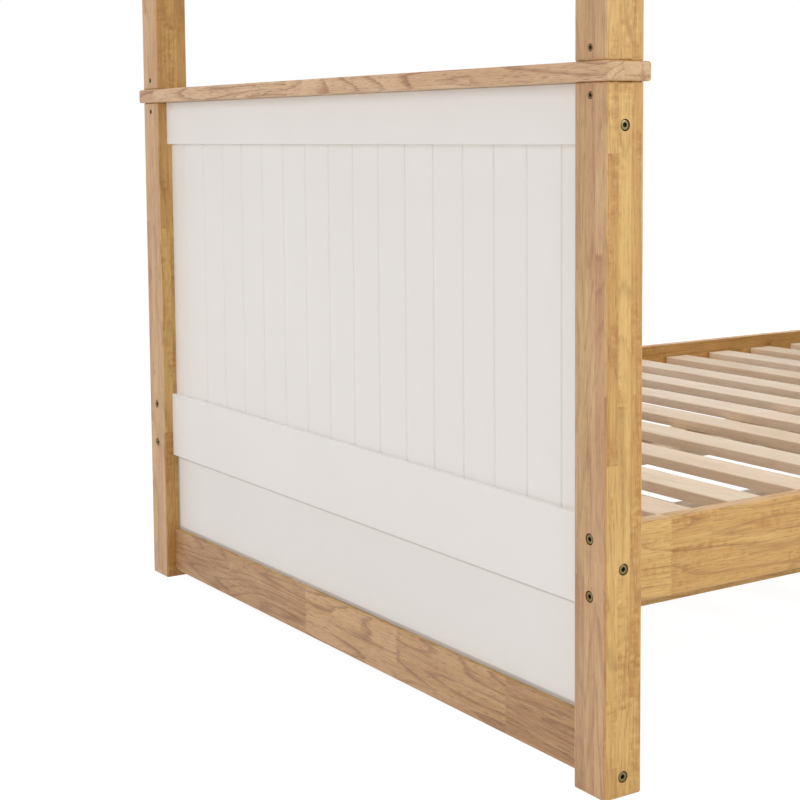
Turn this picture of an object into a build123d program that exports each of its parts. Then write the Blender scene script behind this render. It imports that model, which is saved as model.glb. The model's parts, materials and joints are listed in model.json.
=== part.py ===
from build123d import *
import math
import os

# A full-over-full bunk bed with panelled ends, a vertical ladder and a trundle on castors.
# Millimetres, +Z up. X runs along the beds, Y across them, and the floor is Z 0.
# The origin is on the floor in the middle of the whole object's box.
# "head" is the -X end and "foot" the +X end. "front" is the -Y side, where the ladder hangs
# and the trundle rolls out, and "back" is the +Y side.

# Overall sizes
bed_length = 2050.0
bed_width = 1460.0

# How far a cutting tool runs past the face it starts from
cut_over = 1.0

# Posts and the caps between and on them
post_side = 66.0
post_rounding = 3.0
lower_post_height = 980.0
upper_post_height = 713.0
cap_thickness = 27.0
cap_overhang = 7.5
cap_rounding = 4.5

# Rails across each end, set back from the outer face of the posts
end_rail_recess = 19.3
end_rail_thickness = 25.0
end_rail_rounding = 1.5
bottom_rail_lift = 15.0
bottom_rail_height = 85.5
cross_rail_height = 127.7
top_rail_height = 84.0

# Panels between those rails
panel_recess = 29.5
panel_thickness = 9.0
panel_tongue = 7.5
panel_slot_clearance = 0.15
panel_slot_spare_depth = 1.0
bead_groove_pitch = 80.0
bead_groove_count = 16
bead_groove_depth = 2.0

# Side rails, their ledgers and the beams that carry the slats
side_rail_recess = 16.2
side_rail_thickness = 25.0
side_rail_height = 112.4
side_rail_rounding = 2.0
lower_side_rail_z = 263.7
upper_side_rail_z = 1280.0
ledger_width = 20.0
ledger_height = 25.0
ledger_top_above_rail_foot = 62.8
beam_width = 45.0
beam_height = 58.0

# Steel saddles that hold the ends of the beams
bracket_sheet = 2.5
bracket_seat_depth = 40.0
bracket_ear = 18.0
bracket_cheek_height = 43.0
bracket_clearance = 0.3

# Slats of the two beds
slat_width = 70.0
slat_thickness = 18.5
slat_count = 13
slat_end_clearance = 2.0
slat_rounding = 2.0
first_slat_gap = 4.7

# Guard rails of the upper bed
guard_rail_height = 70.0
guard_rail_gap = 75.0
guard_rail_count = 2
guard_upright_width = 60.0
guard_upright_thickness = 16.0
guard_upright_rounding = 2.0
front_guard_upright_x = -275.0

# Ladder, hung on the front rails
ladder_inner_width = 380.0
ladder_gap_to_post = 16.0
stringer_thickness = 28.0
stringer_depth = 62.0
stringer_rounding = 5.0
tread_count = 5
tread_thickness = 24.0
tread_setback = 3.0
tread_rounding = 3.0
tread_housing = 8.0
tread_clearance = 0.15
first_tread_top = 302.0
tread_rise = 262.0

# Frame bolts with barrel nuts
bolt_diameter = 8.0
bolt_head_diameter = 16.3
bolt_head_height = 3.5
bolt_head_sink = 0.5
bolt_head_rounding = 0.8
bolt_length = 100.0
bolt_socket = 5.0
bolt_socket_depth = 2.5
bolt_hole_clearance = 0.2
bolt_hole_spare_depth = 1.0
bolt_inset = 33.0
side_rail_bolt_spacing = 80.0
top_rail_bolt_drop = 58.0
bottom_rail_bolt_z = 29.0
nut_diameter = 10.0
nut_length = 16.0
nut_depth_in_rail = 26.0
nut_sink = 1.0
nut_clearance = 0.1

# Pins that join lower and upper posts through the cap, and the screws that lock them
pin_diameter = 12.0
pin_reach = 45.0
pin_clearance = 0.1
pin_spare_depth = 1.0
pin_screw_distance = 18.0

# Dowels of the top caps
dowel_diameter = 10.0
dowel_reach_in_post = 28.0
dowel_reach_in_cap = 15.0
dowel_clearance = 0.1
dowel_spare_depth = 1.0

# Wood screws: head diameter, head height, shank diameter and length
pin_screw = (10.5, 2.5, 5.0, 26.8)
slat_screw = (7.5, 2.0, 3.5, 34.0)
ladder_screw = (9.0, 2.5, 5.0, 70.0)
tread_screw = (9.0, 2.5, 5.0, 60.0)
guard_screw = (8.0, 2.0, 4.0, 34.0)
screw_clearance = 0.1
screw_spare_depth = 0.5
screw_socket_share = 0.45
screw_socket_depth_share = 0.6

# Trundle frame
trundle_side_gap = 11.0
trundle_width = 1000.0
trundle_back_gap = 12.0
trundle_board = 18.0
trundle_board_rounding = 2.0
trundle_board_z = 89.0
trundle_front_height = 140.0
trundle_back_height = 62.0
bearer_width = 45.0
bearer_z = 62.0
cleat_width = 25.0
cleat_height = 16.0
centre_rail_width = 40.0
trundle_slat_width = 60.0
trundle_slat_thickness = 16.0
trundle_slat_count = 10
trundle_slat_clearance = 1.0
hand_notch_length = 130.0
hand_notch_depth = 26.0
hand_notch_rounding = 12.0
hand_notch_x = 420.0

# Trundle castors
wheel_diameter = 50.0
wheel_width = 20.0
wheel_rounding = 3.0
wheel_hub_diameter = 20.0
wheel_web_depth = 3.0
wheel_rim = 6.0
wheel_bore_clearance = 0.05
wheel_side_clearance = 1.0
axle_diameter = 6.0
axle_head_diameter = 10.0
axle_head_height = 1.5
fork_sheet = 2.5
fork_length = 44.0
fork_drop = 10.0
fork_cheek_rounding = 9.0
castor_inset = 60.0

# Worked-out places
half_length = bed_length / 2
half_width = bed_width / 2
cap_z = lower_post_height
upper_post_z = cap_z + cap_thickness
top_cap_z = upper_post_z + upper_post_height
post_inner_x = half_length - post_side
post_inner_y = half_width - post_side
end_rail_outer_x = half_length - end_rail_recess
end_rail_inner_x = end_rail_outer_x - end_rail_thickness
panel_outer_x = half_length - panel_recess
panel_inner_x = panel_outer_x - panel_thickness
side_rail_outer_y = half_width - side_rail_recess
side_rail_inner_y = side_rail_outer_y - side_rail_thickness
stringer_outer_y = side_rail_outer_y + stringer_depth
cross_rail_drop = (cross_rail_height - side_rail_height) / 2
lower_cross_rail_z = lower_side_rail_z - cross_rail_drop
upper_cross_rail_z = upper_side_rail_z - cross_rail_drop
lower_top_rail_z = cap_z - top_rail_height
upper_top_rail_z = top_cap_z - top_rail_height
bottom_rail_top = bottom_rail_lift + bottom_rail_height
guard_rail_pitch = guard_rail_height + guard_rail_gap
guard_top = upper_side_rail_z + side_rail_height + guard_rail_count * guard_rail_pitch
box_front_y = -stringer_outer_y
box_back_y = half_width + cap_overhang
to_row_frame = Pos(0, -(box_front_y + box_back_y) / 2, 0)

ENDS = {"head": -1, "foot": 1}
SIDES = {"front": -1, "back": 1}
LEVELS = {"lower": lower_side_rail_z, "upper": upper_side_rail_z}


def block(x_faces, y_faces, z_faces, rounding=0.0):
    """A board between three pairs of faces, given in any order, with its edges rounded."""
    spans = (x_faces, y_faces, z_faces)
    sizes = [abs(far - near) for near, far in spans]
    middle = [(near + far) / 2 for near, far in spans]
    body = Box(*sizes)
    if rounding:
        body = fillet(body.edges(), rounding)
    return Pos(*middle) * body


def aim(point, inward):
    """A place at a point, turned so that its own -Z runs inward and its own X lies level."""
    back = -Vector(*inward)
    level = Vector(0, 0, 1).cross(back)
    if level.length == 0:
        level = Vector(1, 0, 0)
    return Plane(origin=point, x_dir=level, z_dir=back).location


def rod(diameter, top, bottom):
    """A round bar along Z between two heights."""
    length = top - bottom
    return Pos(0, 0, (top + bottom) / 2) * Cylinder(diameter / 2, length)


def save(name, solids):
    """Writes one node from its solids, moved into the row's own frame."""
    solids = solids if isinstance(solids, list) else [solids]
    placed = [to_row_frame * solid for solid in solids]
    shape = placed[0] if len(placed) == 1 else Compound(children=placed)
    export_step(shape, f"parts/{name}.step")


def frame_bolt():
    """A socket-head bolt along -Z, with the post's outer face at Z 0."""
    head_top = -bolt_head_sink
    seat = head_top - bolt_head_height
    head = rod(bolt_head_diameter, head_top, seat)
    head = fillet(head.edges().group_by(Axis.Z)[-1], bolt_head_rounding)
    socket = extrude(RegularPolygon(bolt_socket / 2, 6, major_radius=False), bolt_socket_depth)
    shank = rod(bolt_diameter, seat, seat - bolt_length)
    return head + shank - Pos(0, 0, head_top - bolt_socket_depth) * socket


def frame_bolt_hole():
    """The counterbored hole for a frame bolt."""
    seat = -(bolt_head_sink + bolt_head_height)
    mouth = rod(bolt_head_diameter + 2 * bolt_hole_clearance, cut_over, seat)
    tip = seat - bolt_length - bolt_hole_spare_depth
    return mouth + rod(bolt_diameter + 2 * bolt_hole_clearance, seat, tip)


def wood_screw(sizes):
    """A screw along -Z with its head's top at Z 0."""
    head_diameter, head_height, shank_diameter, length = sizes
    head = rod(head_diameter, 0, -head_height)
    shank = rod(shank_diameter, -head_height, -length)
    socket = RegularPolygon(head_diameter * screw_socket_share / 2, 6, major_radius=False)
    return head + shank - extrude(socket, -head_height * screw_socket_depth_share)


def wood_screw_hole(sizes):
    """The pilot hole and head recess for a wood screw."""
    head_diameter, head_height, shank_diameter, length = sizes
    mouth = rod(head_diameter + 2 * screw_clearance, cut_over, -head_height)
    shank_hole = rod(shank_diameter + 2 * screw_clearance, -head_height, -length - screw_spare_depth)
    return mouth + shank_hole


def side_bolt_places(end, side, heights):
    """Bolts along X: through a post's end face into the end of a side or guard rail."""
    y = side * (half_width - bolt_inset)
    return [aim((end * half_length, y, z), (-end, 0, 0)) for z in heights]


def end_bolt_places(end, side, heights):
    """Bolts along Y: through a post's side face into the end of a rail across the end."""
    x = end * (half_length - bolt_inset)
    return [aim((x, side * half_width, z), (0, -side, 0)) for z in heights]


def rail_bolt_heights(level):
    middle = LEVELS[level] + side_rail_height / 2
    return [middle - side_rail_bolt_spacing / 2, middle + side_rail_bolt_spacing / 2]


def guard_rail_z(index):
    return upper_side_rail_z + side_rail_height + guard_rail_gap + index * guard_rail_pitch


def guard_bolt_heights():
    return [guard_rail_z(index) + guard_rail_height / 2 for index in range(guard_rail_count)]


def has_guard_post(end, side):
    """Guard rails reach every post except the one beside the ladder."""
    return not (end == ENDS["foot"] and side == SIDES["front"])


END_RAILS = {
    "bottom_rail": (bottom_rail_lift, bottom_rail_height, bottom_rail_bolt_z),
    "lower_cross_rail": (
        lower_cross_rail_z, cross_rail_height, lower_cross_rail_z + cross_rail_height / 2),
    "lower_top_rail": (lower_top_rail_z, top_rail_height, cap_z - top_rail_bolt_drop),
    "upper_cross_rail": (
        upper_cross_rail_z, cross_rail_height, upper_cross_rail_z + cross_rail_height / 2),
    "upper_top_rail": (upper_top_rail_z, top_rail_height, top_cap_z - top_rail_bolt_drop),
}

PANELS = {
    "kick_panel": (bottom_rail_top, lower_cross_rail_z, False),
    "lower_beadboard": (lower_cross_rail_z + cross_rail_height, lower_top_rail_z, True),
    "upper_beadboard": (upper_cross_rail_z + cross_rail_height, upper_top_rail_z, True),
}


def bolts_of_post(end, side, level):
    """Every bolt place on one post, as (places along X, places along Y)."""
    along_x = list(rail_bolt_heights(level))
    if level == "upper" and has_guard_post(end, side):
        along_x += guard_bolt_heights()
    reach = (0, cap_z) if level == "lower" else (upper_post_z, top_cap_z)
    along_y = [bolt_z for _, _, bolt_z in END_RAILS.values() if reach[0] < bolt_z < reach[1]]
    return side_bolt_places(end, side, along_x), end_bolt_places(end, side, along_y)


def panel_slot(end, low, high):
    """The slot that takes a panel's edges, as wide as the panel with its clearance."""
    x_faces = (end * (panel_outer_x + panel_slot_clearance), end * (panel_inner_x - panel_slot_clearance))
    reach = post_inner_y + panel_tongue + panel_slot_spare_depth
    spare = panel_tongue + panel_slot_spare_depth
    return block(x_faces, (-reach, reach), (low - spare, high + spare))


def pin_place(end, side, z):
    return Pos(end * (half_length - post_side / 2), side * (half_width - post_side / 2), z)


def pin_screw_places(end, side):
    """Screws that lock a joining pin, one in the lower post and one in the upper."""
    y = side * (half_width - post_side / 2)
    heights = (cap_z - pin_screw_distance, upper_post_z + pin_screw_distance)
    return [aim((end * half_length, y, z), (-end, 0, 0)) for z in heights]


def joining_pin(grow=0.0, spare=0.0):
    return rod(pin_diameter + 2 * grow, upper_post_z + pin_reach + spare, cap_z - pin_reach - spare)


def cap_dowel(grow=0.0, spare=0.0):
    top = top_cap_z + dowel_reach_in_cap + spare
    return rod(dowel_diameter + 2 * grow, top, top_cap_z - dowel_reach_in_post - spare)


def make_post(end, side, level):
    low, high = (0, cap_z) if level == "lower" else (upper_post_z, top_cap_z)
    x_faces = (end * post_inner_x, end * half_length)
    y_faces = (side * post_inner_y, side * half_width)
    post = block(x_faces, y_faces, (low, high), post_rounding)
    along_x, along_y = bolts_of_post(end, side, level)
    for place in along_x + along_y:
        post -= place * frame_bolt_hole()
    for place in pin_screw_places(end, side):
        post -= place * wood_screw_hole(pin_screw)
    post -= pin_place(end, side, 0) * joining_pin(pin_clearance, pin_spare_depth)
    post -= pin_place(end, side, 0) * cap_dowel(dowel_clearance, dowel_spare_depth)
    for name, (panel_low, panel_high, _) in PANELS.items():
        if low < panel_low < high:
            post -= panel_slot(end, panel_low, panel_high)
    return post


def make_cap(end, z):
    x_faces = (end * (post_inner_x - cap_overhang), end * (half_length + cap_overhang))
    reach = half_width + cap_overhang
    cap = block(x_faces, (-reach, reach), (z, z + cap_thickness), cap_rounding)
    for side in SIDES.values():
        cap -= pin_place(end, side, 0) * joining_pin(pin_clearance, pin_spare_depth)
        cap -= pin_place(end, side, 0) * cap_dowel(dowel_clearance, dowel_spare_depth)
    return cap


def end_rail_nut_place(end, side, z):
    """A barrel nut's place, along X from the rail's inner face."""
    y = side * (post_inner_y - nut_depth_in_rail)
    return aim((end * (end_rail_inner_x + nut_sink), y, z), (end, 0, 0))


def barrel_nut(bolt_depth):
    """A barrel nut along -Z, cross-drilled along X at the depth where its bolt passes."""
    nut = rod(nut_diameter, 0, -nut_length)
    thread = Rot(0, 90, 0) * Cylinder(bolt_diameter / 2 + nut_clearance, nut_diameter * 2)
    return nut - Pos(0, 0, -bolt_depth) * thread


def nut_hole():
    return rod(nut_diameter + 2 * nut_clearance, nut_sink + cut_over, -nut_length - nut_clearance)


def make_end_rail(end, name):
    low, height, bolt_z = END_RAILS[name]
    x_faces = (end * end_rail_outer_x, end * end_rail_inner_x)
    rail = block(x_faces, (-post_inner_y, post_inner_y), (low, low + height))
    long_edges = rail.edges().filter_by(Axis.Y)
    rail = fillet(long_edges, end_rail_rounding)
    for panel_low, panel_high, _ in PANELS.values():
        if abs(low + height - panel_low) < 1 or abs(low - panel_high) < 1:
            rail -= panel_slot(end, panel_low, panel_high)
    for side in SIDES.values():
        for place in end_bolt_places(end, side, [bolt_z]):
            rail -= place * frame_bolt_hole()
        rail -= end_rail_nut_place(end, side, bolt_z) * nut_hole()
    return rail


def make_panel(end, name):
    low, high, beaded = PANELS[name]
    x_faces = (end * panel_outer_x, end * panel_inner_x)
    reach = post_inner_y + panel_tongue
    panel = block(x_faces, (-reach, reach), (low - panel_tongue, high + panel_tongue))
    if beaded:
        side = bead_groove_depth * math.sqrt(2)
        bit = Rot(0, 0, 45) * Box(side, side, high - low + 4 * panel_tongue)
        first = -(bead_groove_count - 1) * bead_groove_pitch / 2
        for index in range(bead_groove_count):
            for x in x_faces:
                panel -= Pos(x, first + index * bead_groove_pitch, (low + high) / 2) * bit
    return panel


def rail_nut_place(end, side, z):
    """A barrel nut's place, along Y from the inner face of a side or guard rail."""
    x = end * (post_inner_x - nut_depth_in_rail)
    return aim((x, side * (side_rail_inner_y + nut_sink), z), (0, side, 0))


def drill_rail_end(rail, end, side, heights):
    for place in side_bolt_places(end, side, heights):
        rail -= place * frame_bolt_hole()
    for z in heights:
        rail -= rail_nut_place(end, side, z) * nut_hole()
    return rail


def ladder_screw_places(heights, stringers):
    """Screws from the inner face of a front rail, through it into the ladder's stringers."""
    return [
        aim((stringer_middle_x(which), -side_rail_inner_y, z), (0, -1, 0))
        for which in stringers for z in heights]


def make_side_rail(side, level):
    low = LEVELS[level]
    y_faces = (side * side_rail_outer_y, side * side_rail_inner_y)
    rail = block((-post_inner_x, post_inner_x), y_faces, (low, low + side_rail_height))
    rail = fillet(rail.edges().filter_by(Axis.X), side_rail_rounding)
    for end in ENDS.values():
        rail = drill_rail_end(rail, end, side, rail_bolt_heights(level))
    if side == SIDES["front"]:
        for place in ladder_screw_places(ladder_screw_heights(level), (0, 1)):
            rail -= place * wood_screw_hole(ladder_screw)
    if level == "upper":
        for place in guard_screw_places(side, guard_screw_heights()[:1]):
            rail -= place * wood_screw_hole(guard_screw)
    return rail


def ledger_y_faces(side):
    return (side * side_rail_inner_y, side * (side_rail_inner_y - ledger_width))


def make_ledger(side, level):
    top = LEVELS[level] + ledger_top_above_rail_foot
    ledger = block((-post_inner_x, post_inner_x), ledger_y_faces(side), (top - ledger_height, top))
    for place in slat_screw_places(level, [side]):
        ledger -= place * wood_screw_hole(slat_screw)
    return ledger


def slat_x(index):
    """The middle of a slat. The pattern starts close to the head end's posts."""
    pitch = 2 * post_inner_x / slat_count
    return -post_inner_x + first_slat_gap + slat_width / 2 + index * pitch


def slat_screw_places(level, sides):
    top = LEVELS[level] + ledger_top_above_rail_foot + slat_thickness
    y = side_rail_inner_y - ledger_width / 2
    return [
        aim((slat_x(index), side * y, top), (0, 0, -1))
        for side in sides for index in range(slat_count)]


def make_slat(level, index):
    low = LEVELS[level] + ledger_top_above_rail_foot
    x = slat_x(index)
    reach = side_rail_inner_y - slat_end_clearance
    x_faces = (x - slat_width / 2, x + slat_width / 2)
    slat = block(x_faces, (-reach, reach), (low, low + slat_thickness))
    slat = fillet(slat.edges().filter_by(Axis.Y), slat_rounding)
    for side in SIDES.values():
        place = aim((x, side * (side_rail_inner_y - ledger_width / 2), low + slat_thickness), (0, 0, -1))
        slat -= place * wood_screw_hole(slat_screw)
    return slat


def make_beam(level):
    top = LEVELS[level] + ledger_top_above_rail_foot
    reach = end_rail_inner_x - bracket_sheet - bracket_clearance
    y_faces = (-beam_width / 2, beam_width / 2)
    return block((-reach, reach), y_faces, (top - beam_height, top))


def make_bracket(end, level):
    """A folded steel saddle against the cross rail, under and beside a beam's end."""
    beam_foot = LEVELS[level] + ledger_top_above_rail_foot - beam_height
    inner = beam_width / 2 + bracket_clearance
    outer = inner + bracket_sheet
    wall_x = end * end_rail_inner_x
    plate_x = end * (end_rail_inner_x - bracket_sheet)
    seat_x = end * (end_rail_inner_x - bracket_seat_depth)
    ear = outer + bracket_ear
    cheek_top = beam_foot + bracket_cheek_height
    seat_low = beam_foot - bracket_sheet
    plate = block((wall_x, plate_x), (-ear, ear), (seat_low, cheek_top))
    seat = block((wall_x, seat_x), (-outer, outer), (seat_low, beam_foot))
    cheeks = [
        block((wall_x, seat_x), (side * inner, side * outer), (seat_low, cheek_top))
        for side in SIDES.values()]
    return plate + seat + cheeks[0] + cheeks[1]


def guard_rail_ends(side):
    """The two X faces of a guard rail: the front ones stop at the ladder."""
    far = post_inner_x if side == SIDES["back"] else ladder_left_x + stringer_thickness
    return (-post_inner_x, far)


def make_guard_rail(side, index):
    low = guard_rail_z(index)
    y_faces = (side * side_rail_outer_y, side * side_rail_inner_y)
    rail = block(guard_rail_ends(side), y_faces, (low, low + guard_rail_height))
    rail = fillet(rail.edges().filter_by(Axis.X), side_rail_rounding)
    middle = [low + guard_rail_height / 2]
    for end in ENDS.values():
        if has_guard_post(end, side):
            rail = drill_rail_end(rail, end, side, middle)
    if side == SIDES["front"]:
        for place in ladder_screw_places(middle, (0,)):
            rail -= place * wood_screw_hole(ladder_screw)
    for place in guard_screw_places(side, middle):
        rail -= place * wood_screw_hole(guard_screw)
    return rail


def guard_upright_x(side):
    return 0.0 if side == SIDES["back"] else front_guard_upright_x


def guard_screw_heights():
    return [upper_side_rail_z + side_rail_height / 2] + guard_bolt_heights()


def guard_screw_places(side, heights):
    """Screws through an upright's outer face into the rails behind it."""
    y = side * (side_rail_outer_y + guard_upright_thickness)
    return [aim((guard_upright_x(side), y, z), (0, -side, 0)) for z in heights]


def make_guard_upright(side):
    x = guard_upright_x(side)
    y_faces = (side * side_rail_outer_y, side * (side_rail_outer_y + guard_upright_thickness))
    x_faces = (x - guard_upright_width / 2, x + guard_upright_width / 2)
    upright = block(x_faces, y_faces, (upper_side_rail_z, guard_top), guard_upright_rounding)
    for place in guard_screw_places(side, guard_screw_heights()):
        upright -= place * wood_screw_hole(guard_screw)
    return upright


def ladder_screw_heights(level):
    middle = LEVELS[level] + side_rail_height / 2
    return [middle - side_rail_height / 4, middle + side_rail_height / 4]


def stringer_middle_x(which):
    return ladder_left_x + stringer_thickness / 2 + which * (ladder_inner_width + stringer_thickness)


def tread_top(index):
    return first_tread_top + index * tread_rise


def tread_block(index, grow=0.0):
    left = ladder_left_x + stringer_thickness - tread_housing - grow
    right = ladder_left_x + stringer_thickness + ladder_inner_width + tread_housing + grow
    y_faces = (-side_rail_outer_y - tread_setback + grow, -stringer_outer_y + tread_setback - grow)
    top = tread_top(index)
    rounding = tread_rounding + grow
    tread = block((left, right), y_faces, (top - tread_thickness - grow, top + grow))
    return fillet(tread.edges().filter_by(Axis.X), rounding)


def tread_screw_places(which):
    """Two screws through a stringer's outer side into each tread's end."""
    outward = -1 if which == 0 else 1
    x = stringer_middle_x(which) + outward * stringer_thickness / 2
    middle_y = -(side_rail_outer_y + stringer_depth / 2)
    return [
        aim((x, middle_y + offset * stringer_depth / 4, tread_top(index) - tread_thickness / 2),
            (-outward, 0, 0))
        for index in range(tread_count) for offset in (-1, 1)]


def make_stringer(which):
    x = stringer_middle_x(which)
    x_faces = (x - stringer_thickness / 2, x + stringer_thickness / 2)
    y_faces = (-side_rail_outer_y, -stringer_outer_y)
    stringer = block(x_faces, y_faces, (lower_side_rail_z, guard_top))
    outer_edges = stringer.edges().filter_by(Axis.Z).group_by(Axis.Y)[0]
    stringer = fillet(outer_edges, stringer_rounding)
    for index in range(tread_count):
        stringer -= tread_block(index, tread_clearance)
    for level in LEVELS:
        for place in ladder_screw_places(ladder_screw_heights(level), (which,)):
            stringer -= place * wood_screw_hole(ladder_screw)
    if which == 0:
        for place in ladder_screw_places(guard_bolt_heights(), (which,)):
            stringer -= place * wood_screw_hole(ladder_screw)
    for place in tread_screw_places(which):
        stringer -= place * wood_screw_hole(tread_screw)
    return stringer


def make_tread(index):
    tread = tread_block(index)
    for which in (0, 1):
        for place in tread_screw_places(which)[2 * index:2 * index + 2]:
            tread -= place * wood_screw_hole(tread_screw)
    return tread


def make_trundle_front():
    """The pull-out front, with two hand notches in its top edge."""
    z_faces = (trundle_board_z, trundle_board_z + trundle_front_height)
    y_faces = (trundle_front_y, trundle_front_y + trundle_board)
    board = block((-trundle_half_length, trundle_half_length), y_faces, z_faces, trundle_board_rounding)
    notch = block(
        (-hand_notch_length / 2, hand_notch_length / 2),
        (trundle_front_y - hand_notch_depth, trundle_front_y + trundle_board + hand_notch_depth),
        (z_faces[1] - hand_notch_depth, z_faces[1] + hand_notch_depth))
    notch = fillet(notch.edges().filter_by(Axis.Y).group_by(Axis.Z)[0], hand_notch_rounding)
    for x in (-hand_notch_x, hand_notch_x):
        board -= Pos(x, 0, 0) * notch
    return board


def make_trundle_back():
    z_faces = (trundle_board_z, trundle_board_z + trundle_back_height)
    y_faces = (trundle_back_y - trundle_board, trundle_back_y)
    x_faces = (-trundle_half_length, trundle_half_length)
    return block(x_faces, y_faces, z_faces, trundle_board_rounding)


def make_bearer(end):
    """The bar across one end of the trundle that carries two castors."""
    x_faces = (end * trundle_half_length, end * (trundle_half_length - bearer_width))
    return block(x_faces, trundle_inner_y, (bearer_z, trundle_deck_foot + trundle_slat_thickness))


def make_slat_rails():
    """Two cleats and the centre rail under the trundle's slats."""
    reach = trundle_half_length - bearer_width
    front, back = trundle_inner_y
    cleat_z = (trundle_deck_foot - cleat_height, trundle_deck_foot)
    middle_y = (front + back) / 2
    rail_y = (middle_y - centre_rail_width / 2, middle_y + centre_rail_width / 2)
    return [
        block((-reach, reach), (front, front + cleat_width), cleat_z),
        block((-reach, reach), (back - cleat_width, back), cleat_z),
        block((-reach, reach), rail_y, (bearer_z, trundle_deck_foot))]


def make_trundle_slats():
    room = 2 * (trundle_half_length - bearer_width)
    pitch = room / trundle_slat_count
    front, back = trundle_inner_y
    y_faces = (front + trundle_slat_clearance, back - trundle_slat_clearance)
    z_faces = (trundle_deck_foot, trundle_deck_foot + trundle_slat_thickness)
    slats = []
    for index in range(trundle_slat_count):
        x = -room / 2 + (index + 0.5) * pitch
        slat = block((x - trundle_slat_width / 2, x + trundle_slat_width / 2), y_faces, z_faces)
        slats.append(fillet(slat.edges().filter_by(Axis.Y), slat_rounding))
    return slats


def castor_place(end, row):
    """The middle of a castor wheel, with row 0 at the front and 1 at the back."""
    front, back = trundle_inner_y
    y = front + castor_inset if row == 0 else back - castor_inset
    return Pos(end * (trundle_half_length - bearer_width / 2), y, wheel_diameter / 2)


def make_fork():
    """A castor's folded fork, about the wheel's middle, with its plate under the bearer."""
    inner = wheel_width / 2 + wheel_side_clearance
    outer = inner + fork_sheet
    plate_top = bearer_z - wheel_diameter / 2
    half = fork_length / 2
    plate = block((-bearer_width / 2, bearer_width / 2), (-half, half), (plate_top - fork_sheet, plate_top))
    fork = plate
    for side in (-1, 1):
        cheek = block((side * inner, side * outer), (-half, half), (-fork_drop, plate_top))
        lower_edges = cheek.edges().filter_by(Axis.X).group_by(Axis.Z)[0]
        fork += fillet(lower_edges, fork_cheek_rounding)
    hole = Rot(0, 90, 0) * Cylinder(axle_diameter / 2 + wheel_bore_clearance, 4 * outer)
    return fork - hole


def make_axle():
    """A riveted axle along X with a head outside each cheek."""
    outer = wheel_width / 2 + wheel_side_clearance + fork_sheet
    axle = Rot(0, 90, 0) * Cylinder(axle_diameter / 2, 2 * outer)
    for side in (-1, 1):
        head = Rot(0, 90, 0) * Cylinder(axle_head_diameter / 2, axle_head_height)
        axle += Pos(side * (outer + axle_head_height / 2), 0, 0) * head
    return axle


def make_wheel():
    """A moulded wheel on the X axis with a hub and a sunk web on each side."""
    radius = wheel_diameter / 2
    wheel = Cylinder(radius, wheel_width)
    wheel = fillet(wheel.edges(), wheel_rounding)
    web_outer = radius - wheel_rim
    sink = Cylinder(web_outer, wheel_web_depth) - Cylinder(wheel_hub_diameter / 2, wheel_web_depth)
    for side in (-1, 1):
        wheel -= Pos(0, 0, side * (wheel_width - wheel_web_depth) / 2) * sink
    wheel -= Cylinder(axle_diameter / 2 + wheel_bore_clearance, 2 * wheel_width)
    return Rot(0, 90, 0) * wheel


# The ladder stands this far from the foot post, and the trundle lies at the back
ladder_left_x = post_inner_x - ladder_gap_to_post - ladder_inner_width - 2 * stringer_thickness
trundle_half_length = post_inner_x - trundle_side_gap
trundle_back_y = half_width - trundle_back_gap
trundle_front_y = trundle_back_y - trundle_width
trundle_inner_y = (trundle_front_y + trundle_board, trundle_back_y - trundle_board)
trundle_deck_foot = trundle_board_z + cleat_height
side_nut_bolt_depth = (half_width - bolt_inset) - (side_rail_inner_y + nut_sink)
end_nut_bolt_depth = (half_length - bolt_inset) - (end_rail_inner_x + nut_sink)

os.makedirs("parts", exist_ok=True)

for end_name, end in ENDS.items():
    for side_name, side in SIDES.items():
        for level in LEVELS:
            save(f"{level}_post_{end_name}_{side_name}", make_post(end, side, level))
    save(f"lower_cap_{end_name}", make_cap(end, cap_z))
    save(f"upper_cap_{end_name}", make_cap(end, top_cap_z))
    for rail_name in END_RAILS:
        save(f"{rail_name}_{end_name}", make_end_rail(end, rail_name))
    for panel_name in PANELS:
        save(f"{panel_name}_{end_name}", make_panel(end, panel_name))

for side_name, side in SIDES.items():
    for level in LEVELS:
        save(f"{level}_side_rail_{side_name}", make_side_rail(side, level))
    save(f"guard_rails_{side_name}", [make_guard_rail(side, i) for i in range(guard_rail_count)])

save("slat_ledgers", [make_ledger(side, level) for side in SIDES.values() for level in LEVELS])
save("centre_beams", [make_beam(level) for level in LEVELS])
save("beam_brackets", [make_bracket(end, level) for end in ENDS.values() for level in LEVELS])
for level in LEVELS:
    save(f"{level}_slats", [make_slat(level, index) for index in range(slat_count)])
save("guard_uprights", [make_guard_upright(side) for side in SIDES.values()])
save("ladder_stringers", [make_stringer(which) for which in (0, 1)])
save("ladder_treads", [make_tread(index) for index in range(tread_count)])

bolts = []
nuts = []
for end in ENDS.values():
    for side in SIDES.values():
        for level in LEVELS:
            along_x, along_y = bolts_of_post(end, side, level)
            bolts += [place * frame_bolt() for place in along_x + along_y]
        heights = rail_bolt_heights("lower") + rail_bolt_heights("upper")
        if has_guard_post(end, side):
            heights += guard_bolt_heights()
        nuts += [rail_nut_place(end, side, z) * barrel_nut(side_nut_bolt_depth) for z in heights]
        for _, _, bolt_z in END_RAILS.values():
            nuts.append(end_rail_nut_place(end, side, bolt_z) * barrel_nut(end_nut_bolt_depth))
save("frame_bolts", bolts)
save("barrel_nuts", nuts)

corners = [(end, side) for end in ENDS.values() for side in SIDES.values()]
save("joining_pins", [pin_place(end, side, 0) * joining_pin() for end, side in corners])
save("cap_dowels", [pin_place(end, side, 0) * cap_dowel() for end, side in corners])
save("pin_screws", [
    place * wood_screw(pin_screw) for end, side in corners for place in pin_screw_places(end, side)])
save("slat_screws", [
    place * wood_screw(slat_screw)
    for level in LEVELS for place in slat_screw_places(level, SIDES.values())])

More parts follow.
